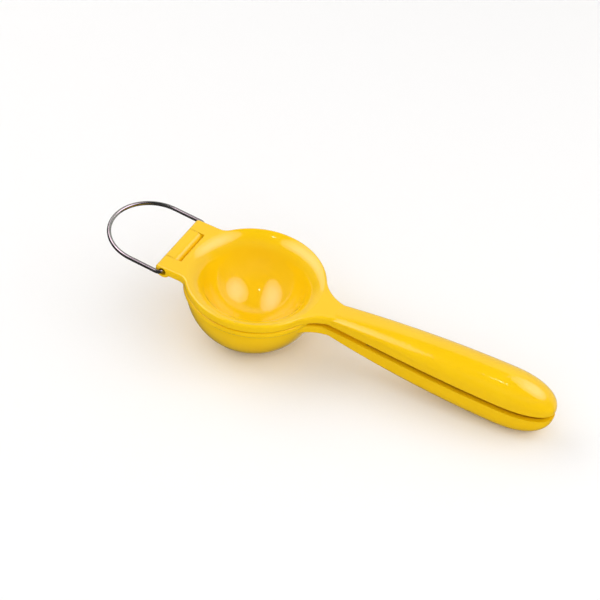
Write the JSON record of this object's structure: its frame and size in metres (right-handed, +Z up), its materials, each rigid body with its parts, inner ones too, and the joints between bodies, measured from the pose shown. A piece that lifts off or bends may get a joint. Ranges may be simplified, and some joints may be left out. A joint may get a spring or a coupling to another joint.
{
  "type": "citrus squeezer",
  "caption": "Hand-held citrus squeezer: a domed press arm closes into a strainer bowl arm on a shared hinge pin, with flared lever handles and a wire loop to hang it by.",
  "frame": {"origin": "on the table under the middle of the object's length and width, with the squeezer closed and lying on its strainer bowl and lower handle tip", "axes": "+X from the hinge towards the handle tips, +Y across the arms to the far side, +Z up"},
  "size_m": [0.3054, 0.09, 0.0585],
  "materials": {
    "enamel": "gloss",
    "pin_steel": "satin",
    "wire_steel": "polished"
  },
  "bodies": {
    "lower_arm": {"strainer_arm": "enamel", "hinge_pin": "pin_steel"},
    "upper_arm": {"press_arm": "enamel"},
    "loop": {"hanging_loop": "wire_steel"}
  },
  "joints": [
    {"name": "arm_hinge", "type": "hinge", "parent": "lower_arm", "child": "upper_arm", "pos_m": [-0.10154, 0, 0.04851], "axis": [0, -1, 0], "range_deg": [0, 120]},
    {"name": "loop_swing", "type": "hinge", "parent": "lower_arm", "child": "loop", "pos_m": [-0.10154, 0, 0.04851], "axis": [0, 1, 0], "range_deg": [-78, 25]}
  ]
}
